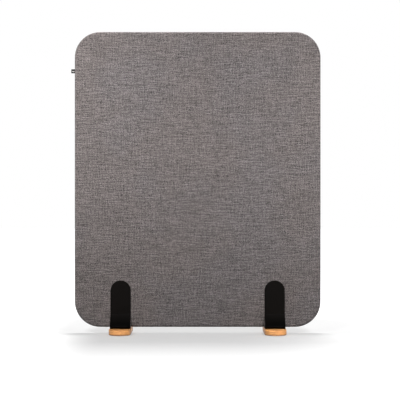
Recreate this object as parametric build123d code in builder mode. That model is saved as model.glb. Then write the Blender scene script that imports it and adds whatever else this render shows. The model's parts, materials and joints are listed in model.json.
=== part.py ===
from build123d import *
import os

# Acoustic divider screen: an upholstered panel that stands on two folded steel brackets,
# each on a round-ended wooden foot.
# Lengths are millimetres. X runs along the screen, Y through it with the front at -Y, Z up.
# The origin lies on the floor under the middle of the panel.

# Upholstered panel
panel_width = 1000.0
panel_height = 1200.0
panel_thickness = 45.0
panel_corner_radius = 104.0
panel_edge_radius = 9.0
least_edge_radius = 1.0
cover_thickness = 1.2
wadding_thickness = 4.0
layer_gap = 0.2

# Timber frame, middle boards and absorbers inside the panel
rail_width = 60.0
corner_block_run = 16.0
septum_thickness = 3.0
groove_depth = 8.0
groove_side_gap = 0.2
groove_end_gap = 0.9
dowel_radius = 4.0
dowel_length = 50.0
dowel_spacing = 30.0
dowel_side_gap = 0.1
dowel_end_gap = 1.0
dowel_chamfer = 0.8

# Staples that hold the cover's hems under the bottom rail
staple_crown = 10.0
staple_wire = 1.0
staple_leg = 14.0
staple_foot_margin = 60.0
staple_intervals = 8
staple_row_offset = 8.0
staple_hole_gap = 0.1

# Woven tag sewn into the edge seam
tag_reach = 16.0
tag_height = 16.5
tag_below_top = 158.5
ribbon_thickness = 0.5
ribbon_fold_gap = 0.3
tag_slot_gap = 0.1

# Wooden feet with felt pads
foot_inset = 187.0
foot_width = 88.0
foot_length = 265.0
foot_thickness = 21.5
foot_edge_radius = 2.5
pad_radius = 20.0
pad_thickness = 3.0
pad_proud = 1.5
pad_side_gap = 0.2
pad_chamfer = 0.6

# Folded steel brackets
steel_thickness = 4.0
tongue_width = 82.0
tongue_height = 189.5
splay_height = 52.0
splay_reach = 54.0
bend_radius = 4.0
tongue_edge_radius = 0.8

# Bolts, washers and inserts that hold each foot to the panel
bolt_radius = 4.0
bolt_length = 45.0
bolt_head_radius = 6.5
bolt_head_height = 8.0
bolt_spacing = 44.0
hex_key_radius = 3.4
hex_key_depth = 4.0
washer_radius = 8.0
washer_thickness = 1.6
washer_bore_gap = 0.2
insert_radius = 6.0
insert_length = 25.0
thread_gap = 0.1
bolt_hole_gap = 0.5
counterbore_gap = 1.0
wood_under_steel = 10.5

# Screws that hold each bracket to its wooden foot
screw_radius = 3.0
screw_length = 14.0
screw_head_radius = 6.0
screw_head_height = 3.6
screw_spacing = 100.0
screw_slot_width = 1.4
screw_slot_depth = 1.6

# How far every cut runs past the material it opens
overrun = 1.0

# Heights, from the floor up
foot_bottom = pad_proud
foot_top = foot_bottom + foot_thickness
panel_bottom = foot_top + steel_thickness
panel_top = panel_bottom + panel_height
panel_middle = (panel_bottom + panel_top) / 2

# Layers of the panel, each by how far it lies inside the outer surface
cover_inside = cover_thickness
wadding_outside = cover_inside + layer_gap
wadding_inside = wadding_outside + wadding_thickness
frame_inset = wadding_inside + layer_gap
frame_thickness = panel_thickness - 2 * frame_inset

# Frame lines
frame_half_width = panel_width / 2 - frame_inset
frame_bottom = panel_bottom + frame_inset
frame_top = panel_top - frame_inset
block_side = panel_corner_radius - frame_inset + corner_block_run
opening_half_width = frame_half_width - rail_width
opening_bottom = frame_bottom + rail_width
opening_top = frame_top - rail_width
cross_rail_bottom = panel_middle - rail_width / 2
cross_rail_top = panel_middle + rail_width / 2
openings = {"lower": (opening_bottom, cross_rail_bottom), "upper": (cross_rail_top, opening_top)}

# Places that several pieces share
foot_offset = panel_width / 2 - foot_inset
foot_centres = {"left": -foot_offset, "right": foot_offset}
counterbore_top = foot_top - wood_under_steel
bolt_places = [(x + side * bolt_spacing / 2, 0) for x in foot_centres.values() for side in (-1, 1)]
screw_places = [(x, side * screw_spacing / 2) for x in foot_centres.values() for side in (-1, 1)]
pad_offset = (foot_length - foot_width) / 2
pad_places = [(x, side * pad_offset) for x in foot_centres.values() for side in (-1, 1)]
inner_staple = foot_offset - staple_foot_margin
outer_staple = foot_offset + staple_foot_margin
staple_columns = [-outer_staple, outer_staple] + [
    inner_staple * (2 * step / staple_intervals - 1) for step in range(staple_intervals + 1)
]
staple_places = [(x, y) for x in staple_columns for y in (-staple_row_offset, staple_row_offset)]
staple_leg_places = [
    (x + side * (staple_crown - staple_wire) / 2, y) for x, y in staple_places for side in (-1, 1)
]
tag_middle = panel_top - tag_below_top
tag_thickness = 2 * ribbon_thickness + ribbon_fold_gap

os.makedirs("parts", exist_ok=True)


def save(piece, name):
    """Label a finished piece and write it to its own file."""
    piece.part.label = name
    export_step(piece.part, f"parts/{name}.step")


def cut_box(x_range, y_range, z_range, mode=Mode.SUBTRACT):
    """Cut the open part with a box, or make one, between the given limits."""
    sizes = [high - low for low, high in (x_range, y_range, z_range)]
    middle = tuple((low + high) / 2 for low, high in (x_range, y_range, z_range))
    with Locations(middle):
        Box(*sizes, mode=mode)


def posts(places, radius, low, high, mode=Mode.ADD):
    """Upright cylinders at places on the floor plan, between two heights."""
    with Locations(*[(x, y, (low + high) / 2) for x, y in places]):
        Cylinder(radius, high - low, mode=mode)


def panel_slab(inset):
    """The panel's outer form drawn in by one inset: rounded corners and eased edges."""
    with BuildPart() as slab:
        with BuildSketch(Plane.XZ):
            with Locations((0, panel_middle)):
                RectangleRounded(
                    panel_width - 2 * inset, panel_height - 2 * inset, panel_corner_radius - inset
                )
        extrude(amount=panel_thickness / 2 - inset, both=True)
        faces = slab.faces().sort_by(Axis.Y)
        rims = faces[0].edges() + faces[-1].edges()
        fillet(rims, radius=max(panel_edge_radius - inset, least_edge_radius))
    return slab.part


def cut_bolt_holes(low, high):
    """Clearance holes for the foot bolts, all the way between two heights."""
    posts(bolt_places, bolt_radius + bolt_hole_gap, low, high, mode=Mode.SUBTRACT)


def cut_staple_holes():
    """Holes that the staples' legs fill in the cover, the wadding and the bottom rail."""
    hole_width = staple_wire + 2 * staple_hole_gap
    hole_top = panel_bottom + staple_leg + staple_hole_gap
    with Locations(*[(x, y, hole_top) for x, y in staple_leg_places]):
        Box(
            hole_width,
            hole_width,
            hole_top - panel_bottom + overrun,
            align=(Align.CENTER, Align.CENTER, Align.MAX),
            mode=Mode.SUBTRACT,
        )


# Cover: two sewn halves that meet in a seam round the middle of the edge
cover_outer_form = panel_slab(0)
cover_inner_form = panel_slab(cover_inside)
wadding_outer_form = panel_slab(wadding_outside)
wadding_inner_form = panel_slab(wadding_inside)
frame_form = panel_slab(frame_inset)
slot_half = tag_thickness / 2 + tag_slot_gap
front_half = Plane.XZ
back_half = Plane.ZX

for side, half in (("front", front_half), ("back", back_half)):
    with BuildPart() as cover:
        add(cover_outer_form)
        add(cover_inner_form, mode=Mode.SUBTRACT)
        split(bisect_by=half, keep=Keep.TOP)
        cut_bolt_holes(panel_bottom - overrun, frame_bottom)
        cut_staple_holes()
        cut_box(
            (-panel_width / 2 - overrun, -panel_width / 2 + cover_thickness + overrun),
            (-slot_half, slot_half),
            (tag_middle - tag_height / 2 - tag_slot_gap, tag_middle + tag_height / 2 + tag_slot_gap),
        )
    save(cover, f"cover_{side}")

    with BuildPart() as wadding:
        add(wadding_outer_form)
        add(wadding_inner_form, mode=Mode.SUBTRACT)
        split(bisect_by=half, keep=Keep.TOP)
        cut_bolt_holes(panel_bottom, frame_bottom + overrun)
        cut_staple_holes()
    save(wadding, f"wadding_{side}")

# Dowel places: two across each joint of the frame
block_end_x = frame_half_width - block_side
rail_middles = (frame_bottom + rail_width / 2, frame_top - rail_width / 2)
dowels_along_x = [
    (side * block_end_x, 0, height + step * dowel_spacing / 2)
    for side in (-1, 1)
    for height in rail_middles
    for step in (-1, 1)
]
dowels_along_x += [
    (side * opening_half_width, 0, panel_middle + step * dowel_spacing / 2)
    for side in (-1, 1)
    for step in (-1, 1)
]
stile_middle = frame_half_width - rail_width / 2
dowels_along_z = [
    (side * stile_middle + step * dowel_spacing / 2, 0, height)
    for side in (-1, 1)
    for height in (frame_bottom + block_side, frame_top - block_side)
    for step in (-1, 1)
]


def cut_dowel_holes():
    """Round holes for every dowel that the open part meets."""
    hole_radius = dowel_radius + dowel_side_gap
    hole_length = dowel_length + 2 * dowel_end_gap
    with Locations(*dowels_along_x):
        Cylinder(hole_radius, hole_length, rotation=(0, 90, 0), mode=Mode.SUBTRACT)
    with Locations(*dowels_along_z):
        Cylinder(hole_radius, hole_length, mode=Mode.SUBTRACT)


def cut_grooves():
    """Grooves round both openings that hold the middle boards."""
    half_width = septum_thickness / 2 + groove_side_gap
    for low, high in openings.values():
        cut_box(
            (-opening_half_width - groove_depth, opening_half_width + groove_depth),
            (-half_width, half_width),
            (low - groove_depth, high + groove_depth),
        )


def cut_insert_holes():
    """Holes for the threaded inserts, a little deeper than the inserts are long."""
    hole_top = frame_bottom + insert_length + overrun
    posts(bolt_places, insert_radius + thread_gap, frame_bottom - overrun, hole_top,
          mode=Mode.SUBTRACT)


def frame_piece(x_range, z_range):
    """One timber: the frame's form between the given limits, with its grooves and holes."""
    with BuildPart() as timber:
        add(frame_form)
        cut_box(x_range, (-panel_thickness, panel_thickness), z_range, mode=Mode.INTERSECT)
        cut_box(
            (-opening_half_width, opening_half_width),
            (-panel_thickness, panel_thickness),
            openings["lower"],
        )
        cut_box(
            (-opening_half_width, opening_half_width),
            (-panel_thickness, panel_thickness),
            openings["upper"],
        )
        cut_grooves()
        cut_dowel_holes()
        cut_insert_holes()
        cut_staple_holes()
    return timber


# Rails and stiles between the corner blocks
rail_span = (-block_end_x, block_end_x)
stile_span = (frame_bottom + block_side, frame_top - block_side)
save(frame_piece(rail_span, (opening_top, frame_top)), "frame_top_rail")
save(frame_piece(rail_span, (frame_bottom, opening_bottom)), "frame_bottom_rail")
save(frame_piece((-opening_half_width, opening_half_width), (cross_rail_bottom, cross_rail_top)),
     "frame_cross_rail")
save(frame_piece((-frame_half_width, -opening_half_width), stile_span), "frame_left_stile")
save(frame_piece((opening_half_width, frame_half_width), stile_span), "frame_right_stile")

# Corner blocks that carry the rounded corners
block_x_ranges = {
    "left": (-frame_half_width, -block_end_x),
    "right": (block_end_x, frame_half_width),
}
block_z_ranges = {
    "bottom": (frame_bottom, frame_bottom + block_side),
    "top": (frame_top - block_side, frame_top),
}
for level, z_range in block_z_ranges.items():
    for side, x_range in block_x_ranges.items():
        save(frame_piece(x_range, z_range), f"corner_block_{level}_{side}")

# Dowels in all the frame's joints
with BuildPart() as frame_dowels:
    with Locations(*dowels_along_x):
        Cylinder(dowel_radius, dowel_length, rotation=(0, 90, 0))
    with Locations(*dowels_along_z):
        Cylinder(dowel_radius, dowel_length)
    chamfer(frame_dowels.edges().filter_by(GeomType.CIRCLE), length=dowel_chamfer)
save(frame_dowels, "frame_dowels")

# Middle boards in the grooves, with an absorber slab on each side
board_entry = groove_depth - groove_end_gap
for level, (low, high) in openings.items():
    with BuildPart() as septum:
        cut_box(
            (-opening_half_width - board_entry, opening_half_width + board_entry),
            (-septum_thickness / 2, septum_thickness / 2),
            (low - board_entry, high + board_entry),
            mode=Mode.ADD,
        )
    save(septum, f"septum_{level}")

    slab_inner = septum_thickness / 2 + layer_gap
    slab_outer = frame_thickness / 2
    for side, y_range in (("front", (-slab_outer, -slab_inner)), ("back", (slab_inner, slab_outer))):
        with BuildPart() as absorber:
            cut_box(
                (-opening_half_width + layer_gap, opening_half_width - layer_gap),
                y_range,
                (low + layer_gap, high - layer_gap),
                mode=Mode.ADD,
            )
        save(absorber, f"absorber_{level}_{side}")

# Staples through both hems, clear of the brackets
with BuildPart() as cover_staples:
    with Locations(*[(x, y, panel_bottom - staple_wire / 2) for x, y in staple_places]):
        Box(staple_crown, staple_wire, staple_wire)
    with Locations(*[(x, y, panel_bottom - staple_wire) for x, y in staple_leg_places]):
        Box(staple_wire, staple_wire, staple_wire + staple_leg,
            align=(Align.CENTER, Align.CENTER, Align.MIN))
save(cover_staples, "cover_staples")

# Tag: a ribbon folded double, its two ends sewn into the edge seam
ribbon_line = (ribbon_fold_gap + ribbon_thickness) / 2
tag_root = -panel_width / 2 + cover_thickness
tag_turn = -panel_width / 2 - tag_reach + ribbon_line + ribbon_thickness / 2
with BuildPart() as edge_tag:
    with BuildSketch(Plane.XY.offset(tag_middle)):
        with BuildLine():
            Line((tag_root, -ribbon_line), (tag_turn, -ribbon_line))
            ThreePointArc(
                (tag_turn, -ribbon_line), (tag_turn - ribbon_line, 0), (tag_turn, ribbon_line)
            )
            Line((tag_turn, ribbon_line), (tag_root, ribbon_line))
        trace(line_width=ribbon_thickness)
    extrude(amount=tag_height / 2, both=True)
save(edge_tag, "edge_tag")


def make_bracket(centre_x):
    """One strip of steel folded under the panel and up both of its faces."""
    tongue_line = panel_thickness / 2 + layer_gap + steel_thickness / 2
    fold_line = panel_thickness / 2 + splay_reach
    plate_line = foot_top + steel_thickness / 2
    tongue_top = panel_bottom + tongue_height
    splay_top = panel_bottom + splay_height
    front_path = [(-tongue_line, tongue_top), (-tongue_line, splay_top), (-fold_line, plate_line)]
    back_path = [(-y, z) for y, z in reversed(front_path)]
    with BuildPart() as bracket:
        with BuildSketch(Plane.YZ.offset(centre_x)):
            with BuildLine():
                FilletPolyline(front_path + back_path, radius=bend_radius + steel_thickness / 2)
            trace(line_width=steel_thickness)
        extrude(amount=tongue_width / 2, both=True)
        with BuildSketch(Plane.XZ):
            round_centre = tongue_top - tongue_width / 2
            with Locations((centre_x, (foot_top + round_centre) / 2)):
                Rectangle(tongue_width, round_centre - foot_top)
            with Locations((centre_x, round_centre)):
                Circle(tongue_width / 2)
        extrude(amount=foot_length, both=True, mode=Mode.INTERSECT)
        faces = bracket.faces().filter_by(Axis.Y).sort_by(Axis.Y)
        outside = faces[0].edges() + faces[-1].edges()
        fillet(outside.filter_by(GeomType.CIRCLE), radius=tongue_edge_radius)
        cut_bolt_holes(foot_top - overrun, panel_bottom + overrun)
        posts(screw_places, screw_radius + thread_gap, foot_top - overrun, panel_bottom + overrun,
              mode=Mode.SUBTRACT)
    return bracket


def make_foot(centre_x):
    """A round-ended board, counterbored from below and recessed for its felt pads."""
    with BuildPart() as foot:
        with BuildSketch(Plane.XY.offset(foot_bottom)):
            with Locations((centre_x, 0)):
                SlotOverall(foot_length, foot_width, rotation=90)
        extrude(amount=foot_thickness)
        flats = foot.faces().sort_by(Axis.Z)
        fillet(flats[0].edges() + flats[-1].edges(), radius=foot_edge_radius)
        cut_bolt_holes(foot_bottom, foot_top + overrun)
        under = foot_bottom - overrun
        posts(bolt_places, washer_radius + counterbore_gap, under, counterbore_top,
              mode=Mode.SUBTRACT)
        posts(screw_places, screw_radius + bolt_hole_gap, under, foot_top + overrun,
              mode=Mode.SUBTRACT)
        posts(screw_places, screw_head_radius + counterbore_gap, under, counterbore_top,
              mode=Mode.SUBTRACT)
        posts(pad_places, pad_radius + pad_side_gap, under, pad_thickness, mode=Mode.SUBTRACT)
    return foot


for side, centre_x in foot_centres.items():
    save(make_bracket(centre_x), f"bracket_{side}")
    save(make_foot(centre_x), f"wooden_foot_{side}")

# Felt pads that the screen stands on
with BuildPart() as felt_pads:
    posts(pad_places, pad_radius, 0, pad_thickness)
    rims = felt_pads.edges().group_by(Axis.Z)[0]
    chamfer(rims, length=pad_chamfer)
save(felt_pads, "felt_pads")

# Bolts from below, through washer, foot and bracket, into the inserts in the bottom rail
washer_low = counterbore_top - washer_thickness
with BuildPart() as foot_bolts:
    posts(bolt_places, bolt_head_radius, washer_low - bolt_head_height, washer_low)
    posts(bolt_places, bolt_radius, washer_low - overrun, washer_low + bolt_length)
    with BuildSketch(Plane.XY.offset(washer_low - bolt_head_height)):
        with Locations(*bolt_places):
            RegularPolygon(hex_key_radius, 6)
    extrude(amount=hex_key_depth, mode=Mode.SUBTRACT)
save(foot_bolts, "foot_bolts")

with BuildPart() as bolt_washers:
    posts(bolt_places, washer_radius, washer_low, counterbore_top)
    posts(bolt_places, bolt_radius + washer_bore_gap, washer_low - overrun,
          counterbore_top + overrun, mode=Mode.SUBTRACT)
save(bolt_washers, "bolt_washers")

with BuildPart() as rail_inserts:
    posts(bolt_places, insert_radius, frame_bottom, frame_bottom + insert_length)
    posts(bolt_places, bolt_radius + thread_gap, frame_bottom - overrun,
          frame_bottom + insert_length + overrun, mode=Mode.SUBTRACT)
save(rail_inserts, "rail_inserts")

# Slotted screws from below, through the foot and into the tapped base of the bracket
with BuildPart() as bracket_screws:
    screw_low = counterbore_top - screw_head_height
    posts(screw_places, screw_head_radius, screw_low, counterbore_top)
    posts(screw_places, screw_radius, counterbore_top - overrun, counterbore_top + screw_length)
    with BuildSketch(Plane.XY.offset(screw_low)):
        with Locations(*screw_places):
            Rectangle(2 * screw_head_radius, screw_slot_width)
    extrude(amount=screw_slot_depth, mode=Mode.SUBTRACT)
save(bracket_screws, "bracket_screws")
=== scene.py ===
import json
import math

import bpy
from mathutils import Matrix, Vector

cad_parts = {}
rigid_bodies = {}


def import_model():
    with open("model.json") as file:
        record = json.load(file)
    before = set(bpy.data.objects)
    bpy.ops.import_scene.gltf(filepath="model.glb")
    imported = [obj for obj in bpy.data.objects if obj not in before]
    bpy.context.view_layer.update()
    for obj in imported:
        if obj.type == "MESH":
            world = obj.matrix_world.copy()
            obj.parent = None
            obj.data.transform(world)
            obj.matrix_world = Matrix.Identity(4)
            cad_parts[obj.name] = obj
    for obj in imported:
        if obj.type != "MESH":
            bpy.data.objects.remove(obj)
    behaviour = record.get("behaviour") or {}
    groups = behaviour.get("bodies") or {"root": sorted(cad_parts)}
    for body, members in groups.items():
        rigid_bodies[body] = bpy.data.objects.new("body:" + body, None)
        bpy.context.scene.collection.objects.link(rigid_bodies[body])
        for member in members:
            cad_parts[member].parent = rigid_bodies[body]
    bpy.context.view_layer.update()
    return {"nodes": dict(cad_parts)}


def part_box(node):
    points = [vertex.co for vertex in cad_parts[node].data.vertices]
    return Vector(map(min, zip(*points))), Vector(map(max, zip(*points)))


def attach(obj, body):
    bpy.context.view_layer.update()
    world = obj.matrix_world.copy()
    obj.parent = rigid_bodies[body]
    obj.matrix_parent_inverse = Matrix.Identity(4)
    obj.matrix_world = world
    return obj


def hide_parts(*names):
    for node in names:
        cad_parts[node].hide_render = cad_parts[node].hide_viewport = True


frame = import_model()

# The photograph's camera: pixels in its 400 px frame, lengths in metres
PHOTO_PX = 400
FOCAL_PX = 1353.4
SENSOR = 0.036
CAMERA_SIDE = 0.0095
CAMERA_HEIGHT = 0.5433
CAMERA_DISTANCE = 5.5

# The panel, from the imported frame
front_low, front_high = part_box("cover_front")
HALF_WIDTH = (front_high[0] - front_low[0]) / 2
HALF_DEPTH = front_high[1] - front_low[1]
PANEL_LOW = front_low[2]
PANEL_HIGH = front_high[2]
PANEL_MIDDLE = (PANEL_LOW + PANEL_HIGH) / 2
HALF_HEIGHT = (PANEL_HIGH - PANEL_LOW) / 2
CORNER_RADIUS = 0.104
EDGE_RADIUS = 0.009

# The upholstery: its face swells by the crown, and its mesh has rings inside the edge and a grid
COVER_THICKNESS = 0.0011
SEAM_ROLL = 0.0010
CROWN = 0.0012
CROWN_RISE = 0.06
CROWN_START = 0.10
FACE_RINGS = (0.003, 0.006, 0.012, 0.018)
GRID_STEP = 0.020
GRID_INSET = 0.045
THREADS_PER_METRE = 980
LONG_TONES_PER_METRE = 34
SHORT_TONES_PER_METRE = 205

# Where the seam's dark line and its puckers start and end to fade, from the seam outwards
SEAM_LINE = (0.0005, 0.0018)
SEAM_PUCKER = (0.001, 0.011)

# The woven tag: its ribbon, how far each side lies from the fold's middle, how far its pale patch
# lies below the tag's middle, and where that patch starts and ends to fade
RIBBON_THICKNESS = 0.0005
RIBBON_LINE = 0.0004
PATCH_DROP = 0.0008
PATCH_HALF_HEIGHT = (0.0020, 0.0027)
PATCH_HALF_LENGTH = (0.0045, 0.0053)

# The stage: the floor's glow in the shadow, what the fade to white adds to it, the floor's grey
# as it is seen and as it bounces light, and the soft light from all round
FLOOR_GLOW = 0.36
FADE_GLOW = 0.75
FLOOR_GREY = 0.62
FLOOR_BOUNCE = 0.13
FLOOR_GAP = 0.0001
AMBIENT = 0.11

# Where the floor's painted glow lets its shadow start and end to fade to the sides, and where it
# starts to fade to the front and back and over what length, all from the screen's middle outwards
SHADOW_LEFT = (0.36, 0.68)
SHADOW_RIGHT = (0.10, 1.30)
SHADOW_DEPTH = 0.36
SHADOW_DEPTH_FADE = 1.15

# The strip along Y where a later fade sets in behind the panel, and how much later it is to each
# side and to the back, there rounded off towards the sides
BEHIND_STRIP = (-0.14, 0.05)
BEHIND_LEFT = 0.17
BEHIND_RIGHT = 0.442
BEHIND_DEPTH = 0.51
BEHIND_ROUNDING = 0.85

# Points and edges nearer than this lie in the same place
NEAR = 1e-5


def deselect():
    """Leave object mode with nothing selected."""
    if bpy.context.object and bpy.context.object.mode != "OBJECT":
        bpy.ops.object.mode_set(mode="OBJECT")
    bpy.ops.object.select_all(action="DESELECT")


def select_faces(piece, wanted):
    """In edit mode, select the faces whose centre and normal pass a test."""
    bpy.ops.object.mode_set(mode="OBJECT")
    for face in piece.data.polygons:
        face.select = wanted(face.center, face.normal)
    bpy.ops.object.mode_set(mode="EDIT")


def select_edges(piece, wanted):
    """In edit mode, select the edges whose two ends pass a test."""
    bpy.ops.object.mode_set(mode="EDIT")
    bpy.ops.mesh.select_mode(type="EDGE")
    bpy.ops.mesh.select_all(action="DESELECT")
    bpy.ops.object.mode_set(mode="OBJECT")
    points = piece.data.vertices
    for edge in piece.data.edges:
        edge.select = wanted(*(points[i].co for i in edge.vertices))
    bpy.ops.object.mode_set(mode="EDIT")


class Value:
    """A socket in a finish's node tree. Arithmetic on it adds Math nodes."""

    def __init__(self, finish, socket):
        self.finish = finish
        self.socket = socket

    def math(self, operation, *others):
        return self.finish.math(operation, self, *others)

    def __add__(self, other):
        return self.math("ADD", other)

    def __sub__(self, other):
        return self.math("SUBTRACT", other)

    def __rsub__(self, other):
        return self.finish.math("SUBTRACT", other, self)

    def __mul__(self, other):
        return self.math("MULTIPLY", other)

    def __truediv__(self, other):
        return self.math("DIVIDE", other)

    def __pow__(self, other):
        return self.math("POWER", other)

    __radd__ = __add__


class Finish:
    """A material, its node tree and its Principled shader."""

    def __init__(self, name, roughness=0.5, **constants):
        self.material = bpy.data.materials.new(name)
        self.material.use_nodes = True
        self.tree = self.material.node_tree
        self.shader = self.tree.nodes["Principled BSDF"]
        self.set(Roughness=roughness)
        for socket, value in constants.items():
            self.shader.inputs[socket.replace("_", " ")].default_value = value

    def node(self, kind, settings=None, sockets=None, out=0):
        """Add a node: its settings first, then values or links for its sockets."""
        made = self.tree.nodes.new(kind)
        for name, value in (settings or {}).items():
            setattr(made, name, value)
        for name, value in (sockets or {}).items():
            self.feed(made.inputs[name], value)
        return Value(self, made.outputs[out])

    def feed(self, socket, value):
        if isinstance(value, Value):
            self.tree.links.new(value.socket, socket)
        elif hasattr(value, "__len__") and len(value) == 3 and socket.type == "RGBA":
            socket.default_value = (*value, 1)
        else:
            socket.default_value = value

    def set(self, **sockets):
        """Feed the shader's own sockets, such as Base_Color and Roughness."""
        for name, value in sockets.items():
            self.feed(self.shader.inputs[name.replace("_", " ")], value)

    def math(self, operation, *values):
        sockets = dict(enumerate(values))
        return self.node("ShaderNodeMath", {"operation": operation}, sockets)

    def clamp(self, value, low=0.0, high=1.0):
        return self.node("ShaderNodeClamp", None, {"Value": value, "Min": low, "Max": high})

    def smooth(self, value, low, high):
        """0 below low, 1 above high and a soft step between."""
        return self.node(
            "ShaderNodeMapRange",
            {"interpolation_type": "SMOOTHSTEP"},
            {"Value": value, "From Min": low, "From Max": high},
        )

    def place(self):
        """The surface's own X, Y and Z, in metres."""
        spot = self.node("ShaderNodeTexCoord", out=3)
        return self.split(spot)

    def split(self, vector):
        parts = self.node("ShaderNodeSeparateXYZ", None, {0: vector})
        return [Value(self, socket) for socket in parts.socket.node.outputs]

    def vector(self, x, y, z=0.0):
        return self.node("ShaderNodeCombineXYZ", None, {0: x, 1: y, 2: z})

    def noise(self, vector, scale, detail=2.0, roughness=0.5):
        sockets = {"Vector": vector, "Scale": scale, "Detail": detail, "Roughness": roughness}
        return self.node("ShaderNodeTexNoise", None, sockets)

    def chance(self, x, y):
        """A random value for each pair of whole numbers."""
        return self.node(
            "ShaderNodeTexWhiteNoise", {"noise_dimensions": "2D"}, {"Vector": self.vector(x, y)}
        )

    def mix(self, factor, low, high):
        """A colour between two, by a factor."""
        return self.node(
            "ShaderNodeMix", {"data_type": "RGBA"}, {0: factor, 6: low, 7: high}, out=2
        )

    def tint(self, colour, amount):
        """A colour made lighter or darker by an amount."""
        return self.node(
            "ShaderNodeVectorMath", {"operation": "SCALE"}, {0: colour, "Scale": amount}
        )

    def bump(self, height, distance, strength=1.0):
        sockets = {"Height": height, "Distance": distance, "Strength": strength}
        self.set(Normal=self.node("ShaderNodeBump", None, sockets))


def cover_fabric():
    """Mottled grey upholstery in a plain weave, with slubs along the weft."""
    finish = Finish("cover_fabric", 0.9, Specular_IOR_Level=0.25, Sheen_Weight=0.15)
    across, up, _ = finish.split(finish.node("ShaderNodeUVMap", {"uv_map": "weave"}))
    warp = across * THREADS_PER_METRE
    weft = up * THREADS_PER_METRE
    warp_number = warp.math("FLOOR")
    weft_number = weft.math("FLOOR")
    warp_side = (warp - warp_number - 0.5) * 2
    weft_side = (weft - weft_number - 0.5) * 2
    warp_over = ((warp_number + weft_number) * 0.5).math("FRACT") * 2

    # Mixed wool: pairs of yarns have long lighter and darker lengths, and each yarn short ones
    def yarn(along, number, long_share, short_share):
        pair = (number * 0.5).math("FLOOR")
        long_place = (along * LONG_TONES_PER_METRE + pair * 0.618).math("FLOOR")
        short_place = (along * SHORT_TONES_PER_METRE + number * 0.37).math("FLOOR")
        long_tone = finish.chance(long_place, pair) - 0.5
        short_tone = finish.chance(short_place, number) - 0.5
        return long_tone * long_share + short_tone * short_share

    def contrast(along, number, *shares):
        """A yarn's tone, set off against the yarns a few places to each side."""
        aside = yarn(along, number - 4, *shares) + yarn(along, number + 4, *shares)
        return yarn(along, number, *shares) - aside * 0.14

    warp_tone = contrast(up, warp_number, 0.9, 1.75)
    weft_tone = contrast(across, weft_number + 7000, 1.55, 1.6)
    fibre = finish.noise(finish.vector(across * 2400, up * 2400), 1.0, 1.0) - 0.5

    # Round yarns that dive under one another, with painted shade darkening the gaps between them
    warp_height = (1 - warp_side * warp_side) * (1.25 - weft_side * weft_side)
    weft_height = (1 - weft_side * weft_side) * (1.25 - warp_side * warp_side)
    height = warp_height * warp_over + weft_height * (1 - warp_over)
    tone = warp_tone * warp_over + weft_tone * (1 - warp_over)
    shade = (1 + tone + fibre * 0.6) * (0.82 + height * 0.30)

    # The seam is a fine dark line, with small puckers where its stitches draw the cloth in
    x, y, z = finish.place()
    from_seam = y.math("ABSOLUTE")
    shade = shade * (0.4 + finish.smooth(from_seam, *SEAM_LINE) * 0.6)
    near_seam = 1 - finish.smooth(from_seam, *SEAM_PUCKER)
    pucker = finish.noise(finish.vector(x * 150, y * 25, z * 150), 1.0, 1.0) - 0.5

    # Faint patches of warmer and cooler grey
    patch = finish.smooth(finish.noise(finish.vector(across, up, 0.6), 3.0, 2.0), 0.40, 0.62)
    colour = finish.mix(patch, (0.2235, 0.1955, 0.1900), (0.2175, 0.1950, 0.1945))
    finish.set(Base_Color=finish.tint(colour, finish.clamp(shade, 0.2, 2.6)))

    relief = height + weft_tone * 0.4 + fibre * 0.4 + pucker * near_seam * 9
    finish.bump(relief, 0.0003, 0.7)
    return finish.material


def black_powder_coat():
    """Matt black powder coat with a fine orange-peel texture; painted shade keeps it darkest at the
    bottom, and it greys a little higher up.
    """
    finish = Finish("black_powder_coat", 0.55, Specular_IOR_Level=0.03)
    x, y, z = finish.place()
    spot = finish.vector(x, y, z)
    peel = finish.noise(spot, 900.0, 2.0)
    cloud = finish.noise(spot, 14.0, 2.0)
    # Painted shade: the coat is darker at the bottom and a little lighter higher up, mottled by a
    # cloud noise
    painted_shade_lift = finish.smooth(z, 0.04, 0.09) * (0.7 + cloud * 0.6)
    black = finish.mix(finish.clamp(painted_shade_lift), (0.0008, 0.0006, 0.0005), (0.0090, 0.0078, 0.0072))
    finish.set(Base_Color=black)
    finish.set(Roughness=0.46 + cloud * 0.14)
    finish.bump(peel, 0.0002, 0.35)
    return finish.material


def timber(name, early, late, roughness, ring_scale, centre, coat=0.0):
    """Wood with its grain along Y: growth rings round a far centre, fibres and pores."""
    finish = Finish(name, roughness, Coat_Weight=coat, Coat_Roughness=0.3)
    x, y, z = finish.place()
    sway = finish.noise(finish.vector(x * 6, y * 2.2, z * 6), 1.0, 2.0)
    ring_x = x - centre[0] + (sway - 0.5) * 0.02
    ring_z = z - centre[1] + (sway - 0.5) * 0.016
    radius = (ring_x * ring_x + ring_z * ring_z) ** 0.5
    ring = (radius * ring_scale + sway * 0.8).math("FRACT")
    late_wood = finish.smooth(ring, 0.35, 0.95) * (1 - finish.smooth(ring, 0.95, 1.0))
    fibre = finish.noise(finish.vector(x * 900, y * 26, z * 900), 1.0, 2.0, 0.6)
    fleck = finish.noise(finish.vector(x * 260, y * 18, z * 260), 1.0, 2.0)
    pores = 1 - finish.smooth(fleck, 0.30, 0.38)
    colour = finish.mix(finish.clamp(late_wood * 0.75 + (fibre - 0.5) * 0.7), early, late)
    colour = finish.mix(pores * 0.35, colour, tuple(0.45 * part for part in late))

    # Painted shade: the last millimetres above the floor are darker, like a contact shadow
    painted_floor_shade = 1 - finish.smooth(z, 0.0015, 0.0105)
    colour = finish.mix(painted_floor_shade * 0.8, colour, tuple(0.35 * part for part in late))
    finish.set(Base_Color=colour, Roughness=roughness + (fibre - 0.5) * 0.2 + pores * 0.15)
    finish.bump(fibre * 0.5 - pores, 0.0002, 0.35)
    return finish.material


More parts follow.
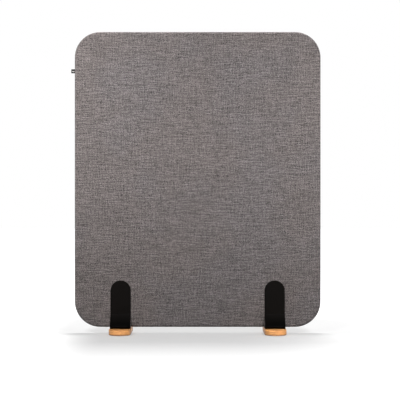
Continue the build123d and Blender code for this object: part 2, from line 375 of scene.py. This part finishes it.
def ribbon_weave():
    """Black ribbon with fine ribs and a plain pale patch woven into its middle."""
    finish = Finish("tag_ribbon", 0.8, Specular_IOR_Level=0.1)
    x, y, z = finish.place()
    low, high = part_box("edge_tag")
    rib = (z * 2600).math("SINE")
    grain = finish.noise(finish.vector(x * 2600, y * 2600, z * 2600), 1.0, 1.0)
    patch_z = (low[2] + high[2]) / 2 - PATCH_DROP
    patch_x = (low[0] - HALF_WIDTH) / 2
    inside_z = 1 - finish.smooth((z - patch_z).math("ABSOLUTE"), *PATCH_HALF_HEIGHT)
    inside_x = 1 - finish.smooth((x - patch_x).math("ABSOLUTE"), *PATCH_HALF_LENGTH)
    thread = 0.8 + rib * 0.1 + grain * 0.2
    dark = finish.tint((0.0055, 0.0055, 0.0055), thread)
    pale = finish.tint((0.62, 0.60, 0.59), thread)
    finish.set(Base_Color=finish.mix(inside_x * inside_z, dark, pale))
    finish.bump(rib + grain, 0.0001, 0.5)
    return finish.material


def felt(name, dark, light, scale):
    """Pressed fibres, dark and light ones mixed."""
    finish = Finish(name, 0.95, Sheen_Weight=0.3, Specular_IOR_Level=0.2)
    x, y, z = finish.place()
    spot = finish.vector(x, y, z)
    fibre = finish.noise(spot, scale, 4.0, 0.7)
    cloud = finish.noise(spot, scale / 14, 2.0)
    finish.set(Base_Color=finish.mix(finish.clamp(fibre * 0.8 + cloud * 0.4 - 0.1), dark, light))
    finish.bump(fibre, 0.0006, 0.6)
    return finish.material


def bare_metal(name, colour, roughness, stretch):
    """Plated or drawn metal with fine marks round it."""
    finish = Finish(name, roughness, Metallic=1.0)
    x, y, z = finish.place()
    marks = finish.noise(finish.vector(x * 300, y * 300, z * 300 * stretch), 1.0, 3.0)
    stain = finish.noise(finish.vector(x, y, z), 60.0, 2.0)
    finish.set(Base_Color=finish.tint(colour, 0.8 + marks * 0.25 + stain * 0.15))
    finish.set(Roughness=roughness - 0.08 + marks * 0.2)
    finish.bump(marks, 0.0001, 0.2)
    return finish.material


def white_stage():
    """A floor that shows white to the camera and in reflections but keeps the shadow."""
    finish = Finish("white_floor", 0.9, Specular_IOR_Level=0.0, Emission_Strength=1.0)
    rays = finish.node("ShaderNodeLightPath").socket.node.outputs
    seen = finish.clamp(
        Value(finish, rays["Is Camera Ray"]) + Value(finish, rays["Is Glossy Ray"])
        + Value(finish, rays["Is Transmission Ray"])
    )
    x, y, _ = finish.place()

    # Painted light: the glow fades the shadow into white to both sides, to the front and to the back
    behind = finish.smooth(y, *BEHIND_STRIP)
    left = finish.smooth(x * -1 - behind * BEHIND_LEFT, *SHADOW_LEFT)
    right = finish.smooth(x - behind * BEHIND_RIGHT, *SHADOW_RIGHT)
    aside = left + right
    reach = behind * (BEHIND_DEPTH - x * x * BEHIND_ROUNDING) + SHADOW_DEPTH
    ahead = finish.clamp((y.math("ABSOLUTE") - reach) / SHADOW_DEPTH_FADE)
    glow = FLOOR_GLOW + (aside + ahead - aside * ahead) * FADE_GLOW
    dim = finish.mix(seen, (FLOOR_BOUNCE,) * 3, (FLOOR_GREY,) * 3)
    finish.set(Base_Color=dim, Emission_Color=finish.tint((1.0, 1.0, 1.0), seen * glow))
    return finish.material


def add_camera():
    """A level camera square to the panel, framed as the photograph is."""
    place = (CAMERA_SIDE, -HALF_DEPTH - CAMERA_DISTANCE, CAMERA_HEIGHT)
    bpy.ops.object.camera_add(location=place, rotation=(math.pi / 2, 0, 0))
    camera = bpy.context.object
    camera.data.sensor_width = SENSOR * 1000
    camera.data.lens = FOCAL_PX / PHOTO_PX * SENSOR * 1000
    bpy.context.scene.camera = camera


def add_softbox(name, place, target, size, watts, spread=180):
    """A square area light that points at a target, with a grid that limits its spread."""
    turn = (Vector(target) - Vector(place)).to_track_quat("-Z", "Y").to_euler()
    bpy.ops.object.light_add(type="AREA", location=place, rotation=turn)
    light = bpy.context.object
    light.name = name
    light.data.size = size
    light.data.energy = watts
    light.data.spread = math.radians(spread)
    return light


def add_world():
    """A white background, also in reflections, and a soft grey light for everything else."""
    world = bpy.data.worlds.new("studio")
    bpy.context.scene.world = world
    world.use_nodes = True
    tree = world.node_tree
    rays = tree.nodes.new("ShaderNodeLightPath")
    seen = rays.outputs["Is Camera Ray"]
    for kind in ("Is Glossy Ray", "Is Transmission Ray"):
        either = tree.nodes.new("ShaderNodeMath")
        either.operation = "MAXIMUM"
        tree.links.new(seen, either.inputs[0])
        tree.links.new(rays.outputs[kind], either.inputs[1])
        seen = either.outputs[0]
    strength = tree.nodes.new("ShaderNodeMapRange")
    tree.links.new(seen, strength.inputs["Value"])
    strength.inputs["To Min"].default_value = AMBIENT
    strength.inputs["To Max"].default_value = 1.0
    background = tree.nodes["Background"]
    background.inputs["Color"].default_value = (1, 1, 1, 1)
    tree.links.new(strength.outputs[0], background.inputs["Strength"])


def add_floor():
    """A wide floor, just low enough not to share a plane with the felt pads' undersides."""
    deselect()
    bpy.ops.mesh.primitive_plane_add(size=40, location=(0, 0, -FLOOR_GAP))
    floor = bpy.context.object
    floor.name = "studio_floor"
    floor.data.materials.append(white_stage())


def cover_wrap(point):
    """Where a point of the cover lies on the flat cloth, in metres from its middle."""
    flat_x = HALF_WIDTH - CORNER_RADIUS
    flat_z = HALF_HEIGHT - CORNER_RADIUS
    height = point.z - PANEL_MIDDLE
    inner = Vector((max(-flat_x, min(flat_x, point.x)), max(-flat_z, min(flat_z, height))))
    out = Vector((point.x, height)) - inner
    flat_reach = CORNER_RADIUS - EDGE_RADIUS
    if out.length <= flat_reach:
        return point.x, height
    over = out.length - flat_reach
    behind = HALF_DEPTH - abs(point.y)
    if behind < EDGE_RADIUS:
        along = EDGE_RADIUS * math.atan2(over, EDGE_RADIUS - behind)
    else:
        along = EDGE_RADIUS * math.pi / 2 + behind - EDGE_RADIUS
    spot = inner + out.normalized() * (flat_reach + along)
    return spot.x, spot.y


def swell_face(cover, side):
    """Swell the cover's face a little between its edges, above the brackets."""
    tongue_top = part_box("bracket_left")[1][2]
    for vertex in cover.data.vertices:
        spot = vertex.co
        inset = min(HALF_WIDTH - abs(spot.x), HALF_HEIGHT - abs(spot.z - PANEL_MIDDLE))
        rise = min(1.0, max(0.0, (inset - EDGE_RADIUS) / CROWN_RISE))
        lift = min(1.0, max(0.0, (spot.z - tongue_top) / CROWN_START))
        wave = 0.5 + 0.5 * math.sin(spot.x * 17 + side) * math.sin(spot.z * 13 + 2 * side)
        swell = CROWN * (0.75 + 0.25 * wave)
        spot.y += side * swell * math.sin(rise * math.pi / 2) * lift * lift * (3 - 2 * lift)


def make_cover(name, node, side, finish):
    """One half of the sewn cover, stretched over the wadding, from the seam to the face."""

    def on_face(reach_x, reach_z):
        """A test for faces that look straight out, within a reach from the panel's middle."""
        return lambda centre, normal: (
            normal.y * side > 0.999
            and abs(centre.x) < reach_x
            and abs(centre.z - PANEL_MIDDLE) < reach_z
        )

    deselect()
    bpy.ops.mesh.primitive_cube_add(
        size=1,
        location=(0, side * HALF_DEPTH / 2, PANEL_MIDDLE),
        scale=(2 * HALF_WIDTH, HALF_DEPTH, 2 * HALF_HEIGHT),
    )
    cover = bpy.context.object
    cover.name = name
    bpy.ops.object.transform_apply(location=True, rotation=True, scale=True)

    # Rounded corners, then the eased edge of the face and the roll into the seam
    select_edges(cover, lambda a, b: abs(a.y - b.y) > HALF_DEPTH / 2)
    bpy.ops.mesh.bevel(offset=CORNER_RADIUS, segments=28, affect="EDGES")
    select_edges(cover, lambda a, b: min(a.y * side, b.y * side) > HALF_DEPTH - NEAR)
    bpy.ops.mesh.bevel(offset=EDGE_RADIUS, segments=8, affect="EDGES")
    select_edges(cover, lambda a, b: max(a.y * side, b.y * side) < NEAR)
    bpy.ops.mesh.bevel(offset=SEAM_ROLL, segments=3, affect="EDGES")
    bpy.ops.mesh.select_mode(type="FACE")
    select_faces(cover, lambda centre, normal: normal.y * side < -0.99)
    bpy.ops.mesh.delete(type="FACE")

    # Rings inside the face's edge, and a grid over the rest of it
    for width in FACE_RINGS:
        select_faces(cover, on_face(HALF_WIDTH / 2, HALF_HEIGHT / 2))
        bpy.ops.mesh.inset(thickness=width)
    for axis, half, middle in ((0, HALF_WIDTH, 0.0), (2, HALF_HEIGHT, PANEL_MIDDLE)):
        count = int(half / GRID_STEP)
        for step in range(-count, count + 1):
            select_faces(cover, on_face(HALF_WIDTH - GRID_INSET, HALF_HEIGHT - GRID_INSET))
            at = [0.0, 0.0, 0.0]
            at[axis] = middle + step * GRID_STEP
            towards = [0.0, 0.0, 0.0]
            towards[axis] = 1.0
            bpy.ops.mesh.bisect(plane_co=at, plane_no=towards)
    bpy.ops.object.mode_set(mode="OBJECT")
    swell_face(cover, side)

    weave = cover.data.uv_layers.new(name="weave")
    for loop in cover.data.loops:
        across, up = cover_wrap(cover.data.vertices[loop.vertex_index].co)
        weave.data[loop.index].uv = (side * across, up)

    deselect()
    cover.select_set(True)
    bpy.context.view_layer.objects.active = cover
    wall = cover.modifiers.new("wall", "SOLIDIFY")
    wall.thickness = COVER_THICKNESS
    wall.offset = -1
    bpy.ops.object.modifier_apply(modifier=wall.name)
    bpy.ops.object.shade_smooth_by_angle(angle=math.radians(40))
    cover.data.materials.append(finish)
    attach(cover, "root")
    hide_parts(node)

    # The flat cloth: the face and the way round its eased edge to the seam, with round corners
    turned = EDGE_RADIUS * math.pi / 2 + HALF_DEPTH - 2 * EDGE_RADIUS
    width = 2 * (HALF_WIDTH + turned)
    height = 2 * (HALF_HEIGHT + turned)
    area = width * height - (4 - math.pi) * (CORNER_RADIUS + turned) ** 2


def make_tag(finish):
    """The ribbon folded double, with a soft turn at its outer end."""
    low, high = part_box("edge_tag")
    height = high[2] - low[2]
    middle = (low[2] + high[2]) / 2
    root = high[0]
    turn = low[0] + RIBBON_LINE + RIBBON_THICKNESS / 2
    deselect()
    bpy.ops.mesh.primitive_plane_add(
        size=1,
        location=((root + turn) / 2, -RIBBON_LINE, middle),
        rotation=(math.pi / 2, 0, 0),
    )
    tag = bpy.context.object
    tag.name = "folded_ribbon"
    tag.scale = (root - turn, height, 1)
    bpy.ops.object.transform_apply(location=True, rotation=True, scale=True)
    select_edges(tag, lambda a, b: max(a.x, b.x) < turn + NEAR)
    bpy.ops.mesh.spin(steps=8, angle=-math.pi, center=(turn, 0, middle), axis=(0, 0, 1))
    select_edges(tag, lambda a, b: max(a.x, b.x) < turn + NEAR and min(a.y, b.y) > RIBBON_LINE - NEAR)
    bpy.ops.mesh.extrude_region_move(TRANSFORM_OT_translate={"value": (root - turn, 0, 0)})
    bpy.ops.mesh.select_all(action="SELECT")
    bpy.ops.mesh.remove_doubles(threshold=1e-6)
    bpy.ops.mesh.normals_make_consistent(inside=False)
    bpy.ops.mesh.subdivide(number_cuts=3)
    bpy.ops.object.mode_set(mode="OBJECT")
    wall = tag.modifiers.new("wall", "SOLIDIFY")
    wall.thickness = RIBBON_THICKNESS
    wall.offset = 0
    bpy.ops.object.modifier_apply(modifier=wall.name)
    bpy.ops.object.shade_smooth_by_angle(angle=math.radians(40))
    tag.data.materials.append(finish)
    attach(tag, "root")
    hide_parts("edge_tag")


covers_finish = cover_fabric()
make_cover("cover_front_cloth", "cover_front", -1, covers_finish)
make_cover("cover_back_cloth", "cover_back", 1, covers_finish)
woven_black = ribbon_weave()
make_tag(woven_black)

steel_black = black_powder_coat()
zinc = bare_metal("zinc_steel", (0.62, 0.63, 0.64), 0.35, 0.1)
pine = timber("frame_timber", (0.66, 0.46, 0.26), (0.50, 0.30, 0.14), 0.7, 260.0, (0.0, -0.3))
plywood = timber("block_plywood", (0.60, 0.42, 0.25), (0.42, 0.27, 0.14), 0.7, 420.0, (0.0, 2.0))
beech = timber("dowel_beech", (0.62, 0.42, 0.26), (0.50, 0.30, 0.17), 0.6, 500.0, (0.3, 0.2))
hardboard = felt("septum_hardboard", (0.10, 0.055, 0.03), (0.24, 0.14, 0.075), 900.0)
fibre_slab = felt("absorber_felt", (0.20, 0.21, 0.22), (0.50, 0.51, 0.52), 500.0)
soft_fill = felt("polyester_wadding", (0.62, 0.62, 0.60), (0.88, 0.88, 0.86), 260.0)
oak = timber("foot_oak", (0.82, 0.385, 0.130), (0.62, 0.25, 0.070), 0.45, 300.0, (-0.25, -0.10), 0.1)

node_finishes = {
    "bracket": steel_black,
    "wooden_foot": oak,
    "felt_pads": felt("pad_felt", (0.03, 0.028, 0.026), (0.14, 0.13, 0.12), 1400.0),
    "foot_bolts": zinc,
    "bolt_washers": zinc,
    "bracket_screws": zinc,
    "cover_staples": zinc,
    "rail_inserts": bare_metal("insert_brass", (0.70, 0.50, 0.22), 0.3, 4.0),
    "edge_tag": woven_black,
    "frame_dowels": beech,
    "frame_": pine,
    "corner_block": plywood,
    "septum": hardboard,
    "absorber": fibre_slab,
    "wadding": soft_fill,
    "cover_": covers_finish,
}
for node, piece in frame["nodes"].items():
    start = next(start for start in node_finishes if node.startswith(start))
    piece.data.materials.clear()
    piece.data.materials.append(node_finishes[start])

add_camera()
add_world()
add_floor()
add_softbox("front_left", (-1.5, -2.9, 2.7), (-0.80, 0, 1.08), size=1.2, watts=10.4, spread=42)
add_softbox("front_right", (1.5, -2.9, 2.7), (0.89, 0, 0.89), size=1.2, watts=8.5, spread=42)
add_softbox("above_behind", (0.20, 0.80, 3.3), (0.02, 0, 0), size=1.3, watts=64)

# A low fill for the feet alone, and a fill behind for all but the floor
screen = bpy.data.collections.new("screen")
for piece in bpy.data.objects:
    if piece.type == "MESH" and piece.name != "studio_floor":
        screen.objects.link(piece)
feet = bpy.data.collections.new("feet")
for node in ("wooden_foot_left", "wooden_foot_right"):
    feet.objects.link(frame["nodes"][node])
back_fill = add_softbox("back_fill", (0.6, 3.6, 1.9), (0, 0, 0.6), size=1.6, watts=46)
low_fill = add_softbox("low_fill", (0, -2.0, 0.7), (0, -0.1, 0), size=6.0, watts=45)
low_fill.data.shape = "RECTANGLE"
low_fill.data.size_y = 0.8
low_fill.light_linking.receiver_collection = feet
back_fill.light_linking.receiver_collection = screen

bpy.context.scene.view_settings.view_transform = "Standard"
